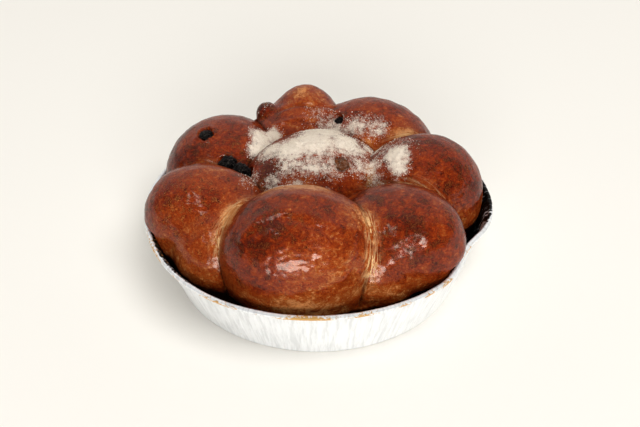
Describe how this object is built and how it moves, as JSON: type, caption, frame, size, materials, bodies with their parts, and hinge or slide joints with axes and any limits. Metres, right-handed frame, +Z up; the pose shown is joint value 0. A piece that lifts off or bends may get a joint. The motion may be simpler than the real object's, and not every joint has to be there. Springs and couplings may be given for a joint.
{
  "type": "pull-apart bread",
  "caption": "Round pull-apart loaf of glossy raisin buns baked together in a shallow foil pan with a rolled rim.",
  "frame": {"origin": "centre of the pan's base, on the surface it stands on", "axes": "+Z up; -Y towards the front, where the widest bun is; +X to the right seen from the front"},
  "size_m": [0.2147, 0.2164, 0.0919],
  "materials": {
    "foil": "crinkled, bright",
    "crust": "baked egg glaze, glossy",
    "raisin": "wrinkled, satin",
    "raisin_dusted": "dusted with sugar",
    "sugar": "powder"
  },
  "bodies": {
    "root": {"foil_pan": "foil", "bread": "crust", "raisin_seam_left": "raisin", "raisin_seam_right": "raisin", "raisin_back_left": "raisin", "raisin_back_seam": "raisin", "raisin_centre": "raisin_dusted"}
  },
  "joints": []
}
